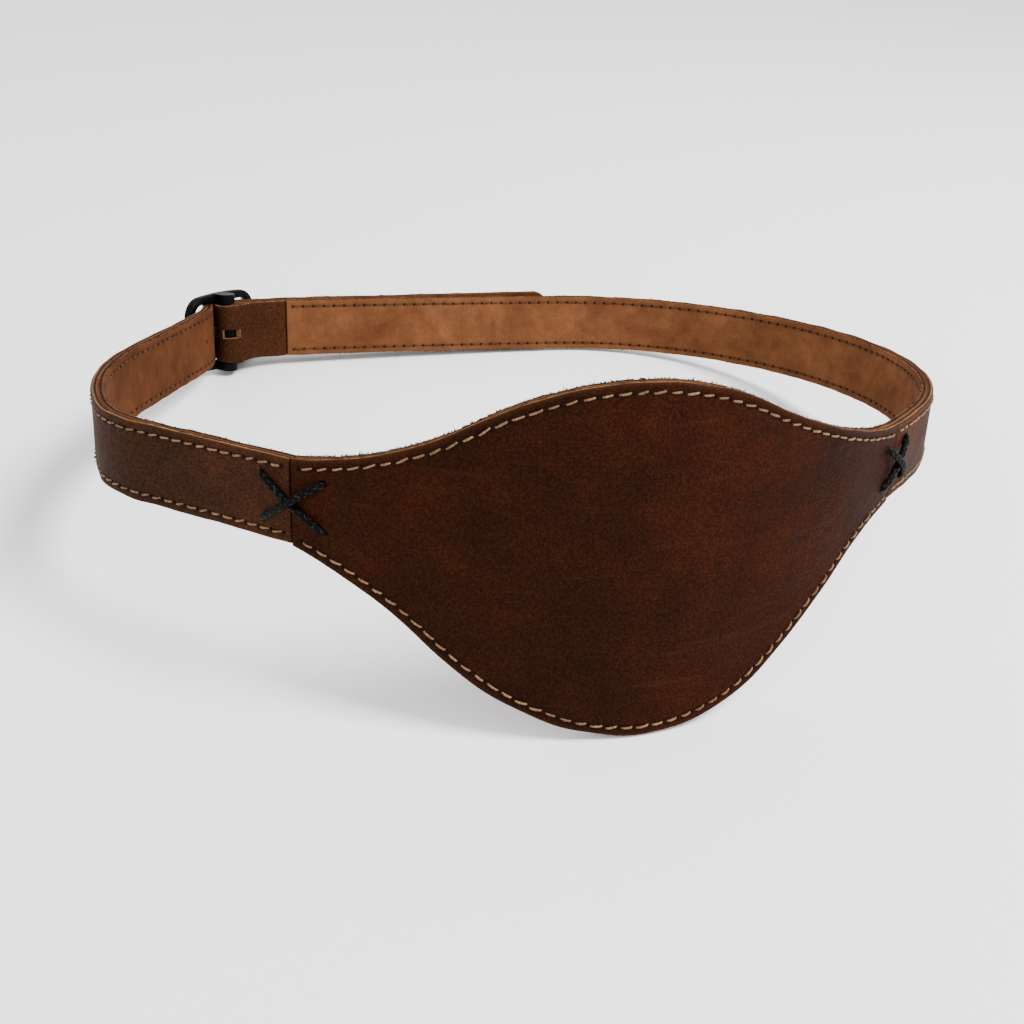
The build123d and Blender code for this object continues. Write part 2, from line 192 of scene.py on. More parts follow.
# ---------------------------------------------------------------- outlines in (distance, height)
def edge_points(edge, shift, step=0.2):
    """A shifted edge of the patch, as (distance along the patch, height)."""
    at, h = walk(edge, np.arange(0, path_length(edge), step))
    x, z = at[:, 0] - np.sin(h) * shift, at[:, 1] + np.cos(h) * shift
    s = middle_radius * (np.arcsin(x / PATCH_RADIUS) + np.radians(PATCH_HALF_ANGLE))
    return np.stack([s, z], 1)


def patch_limits(s):
    """Lowest and highest point of the patch at distances along it, and their slopes' cosines."""
    found = []
    for edge in (BOTTOM_EDGE, TOP_EDGE):
        line = edge_points(edge, 0)
        z = np.interp(s, line[:, 0], line[:, 1])
        slope = np.gradient(line[:, 1], line[:, 0])
        found += [z, 1 / np.hypot(1, np.interp(s, line[:, 0], slope))]
    return found[0], found[2], found[1], found[3]


def strap_limits(s):
    flat = np.full(len(s), HALF)
    return -flat, flat, np.ones(len(s)), np.ones(len(s))


def billet_limits(s):
    """The billet's tip has two rounded corners, and its tail stands a little proud."""
    reach = np.clip(s - (billet_length - TIP_RADIUS), 0, TIP_RADIUS * 0.999)
    drop = TIP_RADIUS - np.sqrt(TIP_RADIUS ** 2 - reach ** 2)
    slope = reach / np.sqrt(TIP_RADIUS ** 2 - reach ** 2)
    cosine = np.maximum(1 / np.hypot(1, slope), 0.35)
    rise = tail_rise(s)
    return -HALF + drop + rise, HALF - drop + rise, cosine, cosine


def tail_rise(s):
    start = to_pin + TAIL_RISE_START
    t = np.clip((s - start) / (billet_length - start), 0, 1)
    return TAIL_RISE * t * t


# ---------------------------------------------------------------- rows of stitches
def resample(line, pitch):
    """Points about a pitch apart along a line of points, with the line's direction there."""
    run = np.concatenate([[0], np.cumsum(np.linalg.norm(np.diff(line, axis=0), axis=1))])
    count = max(int(round(run[-1] / pitch)), 1)
    at = np.linspace(0, run[-1], count + 1)
    return np.stack([np.interp(at, run, line[:, i]) for i in range(line.shape[1])], 1)


def straight_row(begin, end, z, rise=None):
    s = np.arange(begin, end, 0.25)
    return np.stack([s, np.full(len(s), z) + (rise(s) if rise else 0)], 1)


row_height = HALF - STITCH_INSET
corner = TIP_RADIUS - STITCH_INSET
turned = np.linspace(0, np.pi / 2, 12)
tip_s = billet_length - TIP_RADIUS
upper = straight_row(STITCH_INSET, tip_s, row_height)
round_up = np.stack([tip_s + corner * np.sin(turned),
                     row_height - corner + corner * np.cos(turned)], 1)
half_row = np.vstack([upper, round_up])
billet_row = np.vstack([half_row, (half_row * (1, -1))[::-1]])
billet_row[:, 1] += tail_rise(billet_row[:, 0])
lining_length = path_length(lining_path)
patch_rows = {}
for name, edge, inward in (("top", TOP_EDGE, -1), ("bottom", BOTTOM_EDGE, 1)):
    line = edge_points(edge, STITCH_INSET * inward)
    inside = (line[:, 0] > STITCH_INSET) & (line[:, 0] < patch_length - STITCH_INSET)
    patch_rows[name] = line[inside]
strap_rows = {
    "top": straight_row(STITCH_INSET, lining_length - STITCH_INSET, row_height),
    "bottom": straight_row(STITCH_INSET, lining_length - STITCH_INSET, -row_height),
}


# ---------------------------------------------------------------- meshes
def mesh_object(name, vertices, faces, materials, indices=None, smooth=True):
    mesh = bpy.data.meshes.new(name)
    mesh.from_pydata([tuple(v) for v in vertices], [], [tuple(f) for f in faces])
    for material in materials:
        mesh.materials.append(material)
    if indices is not None:
        mesh.polygons.foreach_set("material_index", np.asarray(indices, np.int32))
    mesh.polygons.foreach_set("use_smooth", [smooth] * len(mesh.polygons))
    mesh.update()
    made = bpy.data.objects.new(name, mesh)
    bpy.context.scene.collection.objects.link(made)
    return made


def ripple(s, z, size, seed):
    """Smooth repeatable unevenness of about one unit, with features of a given size."""
    local = np.random.default_rng(seed)
    total = np.zeros(np.broadcast(s, z).shape)
    for _ in range(7):
        turn, phase = local.uniform(0, np.pi), local.uniform(0, 2 * np.pi)
        wave = 2 * np.pi / (size * local.uniform(0.6, 1.6))
        total += np.sin((s * np.cos(turn) + z * np.sin(turn)) * wave + phase)
    return total / 2.6


def rounding(distance):
    """How far a face drops at a distance from a rounded edge."""
    near = np.clip(EDGE_ROUND - distance, 0, EDGE_ROUND)
    return EDGE_ROUND - np.sqrt(EDGE_ROUND ** 2 - near ** 2)


def nearest(points, samples):
    """Distance from each point to the nearest sample."""
    tree = KDTree(len(samples))
    for i, p in enumerate(samples):
        tree.insert((p[0], p[1], 0), i)
    tree.balance()
    return np.array([tree.find((p[0], p[1], 0))[2] for p in points])


def leather_ply(name, node, path, right, left, limits, rows, seed, shown, materials):
    """A closed layer of leather along a path. shown is the side that is seen: -1 right, 1 left."""
    length = path_length(path)
    ends = np.array(FROM_EDGE[:5])
    s = np.concatenate([ends, np.arange(1.0, length - 0.9, GRID), length - ends[::-1]])
    if limits is billet_limits:
        fine = length - TIP_RADIUS * (1 - np.sin(np.linspace(0.05, 1.5, 14)))
        s = np.unique(np.concatenate([s, fine[fine < length - 0.02]]))
    low, high, cos_low, cos_high = limits(s)
    low = low + WAVER * ripple(s, 0, 9, seed) * np.minimum(1, s / 4)
    high = high + WAVER * ripple(s, 3, 9, seed + 1) * np.minimum(1, s / 4)
    width = high - low
    count = max(int(width.max() / GRID), 20)
    from_edge = np.array(FROM_EDGE)
    limit = np.minimum(1, (width / 2 - 0.3) / (from_edge[-1] / np.minimum(cos_low, cos_high)))
    rows_low = low + np.outer(from_edge, limit / cos_low)
    rows_high = high - np.outer(from_edge, limit / cos_high)
    t = np.linspace(0, 1, count + 2)[1:-1]
    between = rows_low[-1] + np.outer(t, rows_high[-1] - rows_low[-1])
    z = np.vstack([rows_low, between, rows_high[::-1]]).T              # (along, across)
    across = z.shape[1]
    edge_distance = np.minimum((z - low[:, None]) * cos_low[:, None],
                               (high[:, None] - z) * cos_high[:, None])
    end_distance = np.minimum(s, length - s)[:, None] + np.zeros_like(z)
    drop = np.maximum(rounding(edge_distance), rounding(end_distance))
    grid_s = s[:, None] + np.zeros_like(z)
    flat = np.stack([grid_s.ravel(), z.ravel()], 1)
    dimple = np.zeros(z.shape)
    if rows:
        line = np.vstack(rows)
        holes = np.vstack([resample(row, STITCH_PITCH) for row in rows])
        groove = nearest(flat, line[::2]).reshape(z.shape)
        pit = nearest(flat, holes).reshape(z.shape)
        dimple = (GROOVE_DEPTH * np.exp(-(groove / GROOVE_REACH) ** 2)
                  + PIT_DEPTH * np.exp(-(pit / GROOVE_REACH) ** 2))
    uneven = 0.05 * ripple(grid_s, z, 14, seed + 2) + 0.018 * ripple(grid_s, z, 3.2, seed + 3)
    sides = {}
    for side, out in ((-1, right), (1, left)):
        inset = drop + (dimple + uneven * 0.6 if side == shown else 0)
        sides[side] = out - side * inset
    mids = [right + (left - right) * share for share in (0.36, 0.64)]
    fuzz = FUZZ * rng.standard_normal((2, 2, len(s)))
    columns_z = [z]
    columns_n = [sides[-1]]
    for k, n in enumerate(mids):
        columns_z.append((high + EDGE_SWELL + fuzz[0, k])[:, None])
        columns_n.append(np.full((len(s), 1), n))
    columns_z.append(z[:, ::-1])
    columns_n.append(sides[1][:, ::-1])
    for k, n in enumerate(mids[::-1]):
        columns_z.append((low - EDGE_SWELL - fuzz[1, k])[:, None])
        columns_n.append(np.full((len(s), 1), n))
    ring_z, ring_n = np.hstack(columns_z), np.hstack(columns_n)
    around = ring_z.shape[1]
    ring_s = s[:, None] + np.zeros_like(ring_z)
    points = lay(path, ring_s.ravel(), ring_z.ravel(), ring_n.ravel())
    index = np.arange(len(s) * around).reshape(len(s), around)
    a, b = index[:-1], index[1:]
    quads = np.stack([a, np.roll(a, -1, 1), np.roll(b, -1, 1), b], -1).reshape(-1, 4)
    kind = np.zeros(around, int)              # 0 shown face, 1 cut edge, 2 hidden face
    kind[:across] = 0 if shown == -1 else 2
    kind[across - 1:across + 2] = 1
    kind[across + 2:2 * across + 2] = 0 if shown == 1 else 2
    kind[2 * across + 1:] = 1
    indices = list(np.tile(kind, len(s) - 1))
    faces = [tuple(q) for q in quads]
    open_end = path in (billet_path, folded_path)
    # The start of every ply and both ends of the patch and of the buckle strap's lining take
    # material 3, near-black painted shade in the butt gaps; the open ends of the billet and of the
    # folded face take the cut edge.
    for row, flip, cap in ((index[0], False, 3), (index[-1], True, 1 if open_end else 3)):
        for j in range(across - 1):
            other = 2 * across + 1 - j
            face = (row[j], row[other], row[other - 1], row[j + 1])
            faces.append(face[::-1] if flip else face)
            indices.append(cap)
        tops = (row[across - 1], row[across + 2], row[across + 1], row[across])
        lows = (row[0], row[around - 1], row[around - 2], row[2 * across + 1])
        for face in (tops, lows):
            faces.append(face[::-1] if flip else face)
            indices.append(cap)
    piece = mesh_object(name, world(points), faces, materials, indices)
    wear = np.zeros(ring_z.shape)
    wear[:, :across] = np.exp(-edge_distance / WEAR_REACH)
    wear[:, across:across + 2] = 1
    wear[:, across + 2:2 * across + 2] = np.exp(-edge_distance / WEAR_REACH)[:, ::-1]
    wear[:, 2 * across + 2:] = 1
    # Painted shade in the stitch grooves and pits, stored as the sunk attribute.
    dark = np.zeros(ring_z.shape)
    shade = np.clip(dimple / (GROOVE_DEPTH + PIT_DEPTH), 0, 1)
    dark[:, :across], dark[:, across + 2:2 * across + 2] = shade, shade[:, ::-1]
    depth = np.abs(ring_n - (right if shown == -1 else left)) / PLY
    for label, value in (("wear", wear), ("sunk", dark), ("depth", depth)):
        layer = piece.data.attributes.new(label, "FLOAT", "POINT")
        layer.data.foreach_set("value", value.ravel().astype(np.float32))
    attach(piece, "band")
    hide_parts(node)
    return piece


def closed_prism(outline, low, high):
    """Vertices and faces of a prism over points (u, v) of the band."""
    n = len(outline)
    v = [(*p, low) for p in outline] + [(*p, high) for p in outline]
    f = [tuple(range(n))[::-1], tuple(range(n, 2 * n))]
    f += [(i, (i + 1) % n, n + (i + 1) % n, n + i) for i in range(n)]
    return world(v), f


def sector(reach, first, last):
    turns = np.radians(np.linspace(first, last, 24))
    rim = [(hub[0] + reach * np.cos(t), hub[1] + reach * np.sin(t)) for t in turns]
    return closed_prism([hub] + rim, -PRONG_WIDTH / 2 - SLOT_CLEARANCE,
                        PRONG_WIDTH / 2 + SLOT_CLEARANCE)


def round_cutter(path, distance, height, radius, reach=3.5):
    at, h = walk(path, [distance])
    normal = np.array((-np.sin(h[0]), np.cos(h[0]), 0))
    along = np.array((np.cos(h[0]), np.sin(h[0]), 0))
    centre = np.array((*at[0], height))
    turns = np.linspace(0, 2 * np.pi, 21)[:-1]
    circle = [along * np.cos(t) * radius + np.array((0, 0, np.sin(t) * radius)) for t in turns]
    v = [centre + normal * end + c for end in (-reach, reach) for c in circle]
    n = len(circle)
    f = [tuple(range(n)), tuple(range(n, 2 * n))[::-1]]
    f += [(i, n + i, n + (i + 1) % n, (i + 1) % n) for i in range(n)]
    return world(v), f


def cut(piece, cutters):
    """Cut closed shapes out of a piece."""
    vertices, faces = [], []
    for v, f in cutters:
        base = len(vertices)
        vertices += list(v)
        faces += [tuple(i + base for i in face) for face in f]
    tool = mesh_object("cutter", vertices, faces, [piece.data.materials[1]], smooth=False)
    bmesh_normals(tool)
    modifier = piece.modifiers.new("cut", "BOOLEAN")
    modifier.operation, modifier.object, modifier.solver = "DIFFERENCE", tool, "EXACT"
    bpy.context.view_layer.update()
    graph = bpy.context.evaluated_depsgraph_get()
    made = bpy.data.meshes.new_from_object(piece.evaluated_get(graph))
    piece.modifiers.clear()
    piece.data = made
    bpy.data.objects.remove(tool)


def bmesh_normals(obj):
    bm = bmesh.new()
    bm.from_mesh(obj.data)
    bmesh.ops.recalc_face_normals(bm, faces=bm.faces)
    bm.to_mesh(obj.data)
    bm.free()


# ---------------------------------------------------------------- materials
def new_material(name):
    material = bpy.data.materials.new(name)
    material.use_nodes = True
    nodes, links = material.node_tree.nodes, material.node_tree.links
    return material, nodes, links, nodes["Principled BSDF"]


def texture(nodes, links, kind, scale, stretch=(1, 1, 1), **settings):
    """A procedural texture in the part's own coordinates. scale counts features per metre."""
    place = nodes.new("ShaderNodeTexCoord")
    mapping = nodes.new("ShaderNodeMapping")
    mapping.inputs["Scale"].default_value = stretch
    links.new(place.outputs["Object"], mapping.inputs["Vector"])
    made = nodes.new("ShaderNodeTexNoise" if kind == "noise" else "ShaderNodeTexVoronoi")
    links.new(mapping.outputs["Vector"], made.inputs["Vector"])
    made.inputs["Scale"].default_value = scale
    for key, value in settings.items():
        if key == "feature":
            made.feature = value
        else:
            made.inputs[key].default_value = value
    return made


def ramp(nodes, links, source, stops):
    made = nodes.new("ShaderNodeValToRGB")
    links.new(source, made.inputs["Fac"])
    elements = made.color_ramp.elements
    while len(elements) < len(stops):
        elements.new(0.5)
    for element, (place, colour) in zip(elements, stops):
        element.position = place
        element.color = (*colour, 1) if len(colour) == 3 else (colour[0],) * 3 + (1,)
    return made.outputs["Color"]


def mix(nodes, links, kind, amount, a, b):
    made = nodes.new("ShaderNodeMix")
    made.data_type, made.blend_type = "RGBA", kind
    if isinstance(amount, (int, float)):
        made.inputs["Factor"].default_value = amount
    else:
        links.new(amount, made.inputs["Factor"])
    for socket, value in (("A", a), ("B", b)):
        target = [i for i in made.inputs if i.name == socket and i.type == "RGBA"][0]
        if isinstance(value, tuple):
            target.default_value = (*value, 1)
        else:
            links.new(value, target)
    return [o for o in made.outputs if o.type == "RGBA"][0]


def scaled(nodes, links, source, low, high, from_low=0.0, from_high=1.0):
    made = nodes.new("ShaderNodeMapRange")
    links.new(source, made.inputs["Value"])
    made.inputs["From Min"].default_value = from_low
    made.inputs["From Max"].default_value = from_high
    made.inputs["To Min"].default_value = low
    made.inputs["To Max"].default_value = high
    return made.outputs["Result"]


def bumps(nodes, links, shader, layers):
    """Chain of bumps: (height socket, strength, distance in metres)."""
    previous = None
    for height, strength, distance in layers:
        made = nodes.new("ShaderNodeBump")
        made.inputs["Strength"].default_value = strength
        made.inputs["Distance"].default_value = distance
        links.new(height, made.inputs["Height"])
        if previous:
            links.new(previous, made.inputs["Normal"])
        previous = made.outputs["Normal"]
    links.new(previous, shader.inputs["Normal"])


def attribute(nodes, name):
    made = nodes.new("ShaderNodeAttribute")
    made.attribute_name = name
    return made.outputs["Fac"]


def grain_leather(name, base_tone):
    material, nodes, links, shader = new_material(name)

    def tinted(red, green, blue):
        return tuple(c * k for c, k in zip(base_tone, (red, green, blue)))

    cloud = texture(nodes, links, "noise", 26, Detail=5, Roughness=0.62, Distortion=0.4)
    patchy = texture(nodes, links, "noise", 110, Detail=6, Roughness=0.6)
    speck = texture(nodes, links, "noise", 1900, Detail=4)
    grain = texture(nodes, links, "voronoi", 1500, feature="DISTANCE_TO_EDGE")
    pore = texture(nodes, links, "noise", 2600, Detail=4, Roughness=0.6)
    crease = texture(nodes, links, "noise", 120, stretch=(1, 1, 3.5), Detail=4, Distortion=1.5)
    scratch = texture(nodes, links, "noise", 160, stretch=(0.25, 0.25, 5), Detail=3)
    base = ramp(nodes, links, cloud.outputs["Fac"],
                [(0.30, tinted(0.68, 0.72, 0.75)), (0.48, tinted(0.95, 0.95, 0.95)),
                 (0.60, tinted(1.30, 1.15, 1.05)), (0.74, tinted(0.85, 1.0, 1.1))])
    tone = ramp(nodes, links, patchy.outputs["Fac"], [(0.3, (0.78,)), (0.7, (1.22,))])
    colour = mix(nodes, links, "MULTIPLY", 1.0, base, tone)
    dots = ramp(nodes, links, speck.outputs["Fac"], [(0.36, (0.70,)), (0.64, (1.34,))])
    colour = mix(nodes, links, "MULTIPLY", 1.0, colour, dots)
    pebble = ramp(nodes, links, grain.outputs["Distance"], [(0.02, (0.66,)), (0.22, (1.14,))])
    colour = mix(nodes, links, "MULTIPLY", 0.8, colour, pebble)
    lines = ramp(nodes, links, scratch.outputs["Fac"], [(0.62, (0.0,)), (0.72, (1.0,))])
    faint = scaled(nodes, links, lines, 0, 0.12)
    colour = mix(nodes, links, "MIX", faint, colour, (0.048, 0.019, 0.009))
    worn = scaled(nodes, links, attribute(nodes, "wear"), 0, 0.55, 0.15, 1.0)
    colour = mix(nodes, links, "MIX", worn, colour, (0.045, 0.018, 0.008))
    # Painted shade: near-black where the stitching sinks in.
    sunk = scaled(nodes, links, attribute(nodes, "sunk"), 0, 0.95)
    colour = mix(nodes, links, "MIX", sunk, colour, (0.006, 0.003, 0.002))
    links.new(colour, shader.inputs["Base Color"])
    links.new(scaled(nodes, links, patchy.outputs["Fac"], 0.52, 0.68, 0.3, 0.7),
              shader.inputs["Roughness"])
    shader.inputs["Specular IOR Level"].default_value = 0.02
    bumps(nodes, links, shader, [(crease.outputs["Fac"], 0.25, 0.0006),
                                 (grain.outputs["Distance"], 0.7, 0.00022),
                                 (pore.outputs["Fac"], 0.6, 0.00014)])
    return material


def suede(name, light, middle, dark):
    material, nodes, links, shader = new_material(name)
    cloud = texture(nodes, links, "noise", 60, Detail=5, Roughness=0.6, Distortion=0.6)
    blotch = texture(nodes, links, "noise", 260, Detail=5, Roughness=0.65)
    nap = texture(nodes, links, "noise", 2400, Detail=4, Roughness=0.7)
    base = ramp(nodes, links, cloud.outputs["Fac"], [(0.32, dark), (0.5, middle), (0.7, light)])
    tone = ramp(nodes, links, blotch.outputs["Fac"], [(0.3, (0.82,)), (0.7, (1.16,))])
    colour = mix(nodes, links, "MULTIPLY", 1.0, base, tone)
    fibre = ramp(nodes, links, nap.outputs["Fac"], [(0.3, (0.84,)), (0.7, (1.14,))])
    colour = mix(nodes, links, "MULTIPLY", 1.0, colour, fibre)
    # Painted shade where the stitching sinks in.
    sunk = scaled(nodes, links, attribute(nodes, "sunk"), 0, 0.75)
    colour = mix(nodes, links, "MIX", sunk, colour, (0.016, 0.006, 0.0025))
    links.new(colour, shader.inputs["Base Color"])
    shader.inputs["Roughness"].default_value = 0.92
    shader.inputs["Specular IOR Level"].default_value = 0.03
    bumps(nodes, links, shader, [(blotch.outputs["Fac"], 0.25, 0.0003),
                                 (nap.outputs["Fac"], 0.6, 0.00018)])
    return material


def cut_edge(name, light, dark, lit):
    """lit is the share of the edge, from the seen face, that stays raw and light."""
    material, nodes, links, shader = new_material(name)
    fibre = texture(nodes, links, "noise", 1300, stretch=(1, 1, 2), Detail=5, Roughness=0.7)
    stain = texture(nodes, links, "noise", 120, Detail=4)
    base = ramp(nodes, links, fibre.outputs["Fac"], [(0.3, dark), (0.68, light)])
    tone = ramp(nodes, links, stain.outputs["Fac"], [(0.32, (0.62,)), (0.62, (1.12,))])
    colour = mix(nodes, links, "MULTIPLY", 1.0, base, tone)
    burnished = scaled(nodes, links, attribute(nodes, "depth"), 0, 1, lit, lit + 0.25)
    colour = mix(nodes, links, "MIX", burnished, colour, (0.017, 0.0065, 0.003))
    links.new(colour, shader.inputs["Base Color"])
    shader.inputs["Roughness"].default_value = 0.85
    shader.inputs["Specular IOR Level"].default_value = 0.05
    bumps(nodes, links, shader, [(fibre.outputs["Fac"], 0.7, 0.00025)])
    return material


def waxed_thread(name, deep, pale):
    material, nodes, links, shader = new_material(name)
    fibre = texture(nodes, links, "noise", 3000, Detail=3)
    soil = texture(nodes, links, "noise", 180, Detail=3)
    base = ramp(nodes, links, fibre.outputs["Fac"],
                [(0.3, deep), (0.7, pale)])
    tone = ramp(nodes, links, soil.outputs["Fac"], [(0.35, (0.62,)), (0.62, (1.1,))])
    colour = mix(nodes, links, "MULTIPLY", 1.0, base, tone)
    links.new(colour, shader.inputs["Base Color"])
    shader.inputs["Roughness"].default_value = 0.6
    shader.inputs["Specular IOR Level"].default_value = 0.08
    bumps(nodes, links, shader, [(fibre.outputs["Fac"], 0.4, 0.00008)])
    return material


def waxed_lace():
    material, nodes, links, shader = new_material("waxed_lace")
    fibre = texture(nodes, links, "noise", 2200, Detail=4)
    base = ramp(nodes, links, fibre.outputs["Fac"],
                [(0.35, (0.0007, 0.0007, 0.0007)), (0.75, (0.0028, 0.0028, 0.0027))])
    # Painted highlight: pale grey glints on the raised crowns of the plait, where light catches.
    glint_noise = texture(nodes, links, "noise", 1500, Detail=2)
    lit = ramp(nodes, links, glint_noise.outputs["Fac"], [(0.48, (0.0,)), (0.62, (1.0,))])
    high = scaled(nodes, links, attribute(nodes, "raised"), 0, 0.8, 0.80, 1.0)
    plait = mix(nodes, links, "MULTIPLY", 1.0, lit, high)
    colour = mix(nodes, links, "MIX", plait, base, (0.036, 0.037, 0.033))
    links.new(colour, shader.inputs["Base Color"])
    links.new(scaled(nodes, links, fibre.outputs["Fac"], 0.35, 0.6), shader.inputs["Roughness"])
    shader.inputs["Specular IOR Level"].default_value = 0.03
    bumps(nodes, links, shader, [(fibre.outputs["Fac"], 0.4, 0.00008)])
    return material


def black_plating():
    material, nodes, links, shader = new_material("black_plating")
    cloud = texture(nodes, links, "noise", 300, Detail=4)
    fine = texture(nodes, links, "noise", 2500, Detail=3)
    rub = ramp(nodes, links, cloud.outputs["Fac"],
               [(0.4, (0.0012, 0.0011, 0.0010)), (0.75, (0.0036, 0.0030, 0.0026))])
    links.new(rub, shader.inputs["Base Color"])
    links.new(scaled(nodes, links, cloud.outputs["Fac"], 0.32, 0.5), shader.inputs["Roughness"])
    shader.inputs["Specular IOR Level"].default_value = 0.05
    bumps(nodes, links, shader, [(fine.outputs["Fac"], 0.3, 0.00008),
                                 (cloud.outputs["Fac"], 0.2, 0.0003)])
    return material


patch_grain = grain_leather("patch_grain", (0.0175, 0.0046, 0.0017))
billet_grain = grain_leather("billet_grain", (0.029, 0.0112, 0.0054))
# A lighter copy of the same face leather: painted light on the buckle strap and its fold's return.
buckle_strap_grain_painted_light = grain_leather("buckle_strap_grain_painted_light", (0.033, 0.0112, 0.0048))
lining = suede("lining_suede", (0.145, 0.056, 0.0230), (0.110, 0.041, 0.0165),
               (0.082, 0.029, 0.0115))
# A darker copy of the lining suede: painted shade on the billet's lining.
shaded_lining = suede("billet_suede_painted_shade", (0.088, 0.0310, 0.0120), (0.066, 0.0225, 0.0085),
                      (0.047, 0.0155, 0.0058))
flesh = suede("flesh_side", (0.13, 0.055, 0.022), (0.10, 0.041, 0.016), (0.075, 0.030, 0.012))
face_edge = cut_edge("face_cut_edge", (0.27, 0.135, 0.060), (0.11, 0.048, 0.020), 0.30)
lining_edge = cut_edge("lining_cut_edge", (0.17, 0.075, 0.032), (0.06, 0.024, 0.010), 0.25)
rough_edge = cut_edge("rough_cut_edge", (0.060, 0.026, 0.0115), (0.018, 0.0075, 0.0035), 0.9)
# Near-black cut edge: painted shade on the butt ends in the seam gaps and in the needle holes.
painted_shade_black = cut_edge("painted_shade_black", (0.012, 0.005, 0.0025), (0.005, 0.002, 0.001), 0.9)
thread_look = waxed_thread("waxed_thread", (0.085, 0.043, 0.019), (0.235, 0.145, 0.076))
thread_inside = waxed_thread("inner_thread", (0.035, 0.014, 0.006), (0.085, 0.038, 0.017))
lace_look, metal = waxed_lace(), black_plating()

# ---------------------------------------------------------------- leather
all_patch_rows, all_strap_rows = list(patch_rows.values()), list(strap_rows.values())


def looks(seen, edge):
    return [seen, edge, flesh, painted_shade_black]


patch_face = leather_ply("patch_face_leather", "patch_face", patch_path, -PLY, 0, patch_limits,
                         all_patch_rows, 11, -1, looks(patch_grain, face_edge))
patch_lining = leather_ply("patch_lining_leather", "patch_lining", patch_path, 0, PLY,
                           patch_limits, all_patch_rows, 21, 1, looks(lining, rough_edge))
billet_face = leather_ply("billet_face_leather", "billet_face", billet_path, 0, PLY,
                          billet_limits, [billet_row], 31, 1, looks(billet_grain, face_edge))
billet_lining = leather_ply("billet_lining_leather", "billet_lining", billet_path, -PLY, 0,
                            billet_limits, [billet_row], 41, -1,
                            looks(shaded_lining, lining_edge))
strap_face = leather_ply("buckle_strap_face_leather", "buckle_strap_face", folded_path, -PLY, 0,
                         strap_limits, all_strap_rows, 51, -1,
                         looks(buckle_strap_grain_painted_light, face_edge))
strap_lining = leather_ply("buckle_strap_lining_leather", "buckle_strap_lining", lining_path, 0,
                           PLY, strap_limits, all_strap_rows, 61, 1, looks(lining, lining_edge))

lace_hole = LACE_RADIUS * 0.8


def lace_cutters(path, distances):
    return [round_cutter(path, d, h, lace_hole) for d in distances
            for h in (CROSS_HALF_HEIGHT, -CROSS_HALF_HEIGHT)]


from_seams = (CROSS_HALF_WIDTH, patch_length - CROSS_HALF_WIDTH)
for piece in (patch_face, patch_lining):
    cut(piece, lace_cutters(patch_path, from_seams))
for piece in (billet_face, billet_lining):
    spare = [round_cutter(billet_path, to_pin + pitch * HOLE_PITCH,
                          float(tail_rise(np.array([to_pin + pitch * HOLE_PITCH]))[0]),
                          HOLE_RADIUS, SPARE_HOLE_REACH) for pitch in ADJUST_HOLES]
    swing = sector(billet_wrap + 2 * PLY, PRONG_HEADING - PRONG_LIFT - PRONG_ROOM,
                   PRONG_HEADING + PRONG_ROOM)
    cut(piece, lace_cutters(billet_path, [CROSS_HALF_WIDTH]) + spare + [swing])
cut(strap_face, lace_cutters(folded_path, [CROSS_HALF_WIDTH])
    + [sector(FOLD_SLOT, FOLD_SLOT_START, FOLD_BRIDGE[0])])
cut(strap_face, [sector(FOLD_SLOT, FOLD_BRIDGE[1], WINDOW_END)])
cut(strap_lining, lace_cutters(lining_path, [CROSS_HALF_WIDTH]))


# ---------------------------------------------------------------- stitches
def stitch_shape(sunk):
    """One stitch along x, with z out of the leather, in millimetres."""
    rings, around = 15, 10
    x = np.linspace(-1, 1, rings)
    crown = (1 - np.abs(x) ** 3.2)
    height = -0.45 + (0.56 - sunk) * crown
    girth = 0.62 + 0.38 * np.sqrt(np.clip(1 - np.abs(x) ** 4, 0, 1))
    turns = np.linspace(0, 2 * np.pi, around, endpoint=False)
    points = []
    for xi, hi, gi in zip(x, height, girth):
        twist = 1 + 0.10 * np.cos(2 * (turns - xi * 3.6))
        points.append(np.stack([np.full(around, xi), np.cos(turns) * 0.21 * gi * twist,
                                hi + np.sin(turns) * 0.21 * gi * twist], 1))
    v = np.vstack(points)
    f = [(r * around + k, r * around + (k + 1) % around, (r + 1) * around + (k + 1) % around,
          (r + 1) * around + k) for r in range(rings - 1) for k in range(around)]
    f += [tuple(range(around))[::-1], tuple(range((rings - 1) * around, rings * around))]
    return v, f


def needle_hole():
    """The mouth of a hole, darkened as painted shade: a low dark dome, with z out of the leather,
    in millimetres.
    """
    turns = np.linspace(0, 2 * np.pi, 9)[:-1]
    rings = [(0.36, -0.34), (0.34, -0.10), (0.20, -0.01)]
    v = np.vstack([np.stack([np.cos(turns) * r, np.sin(turns) * r, np.full(8, z)], 1)
                   for r, z in rings])
    f = [(k * 8 + i, k * 8 + (i + 1) % 8, (k + 1) * 8 + (i + 1) % 8, (k + 1) * 8 + i)
         for k in range(2) for i in range(8)]
    return v, f + [tuple(range(8))[::-1], tuple(range(16, 24))]


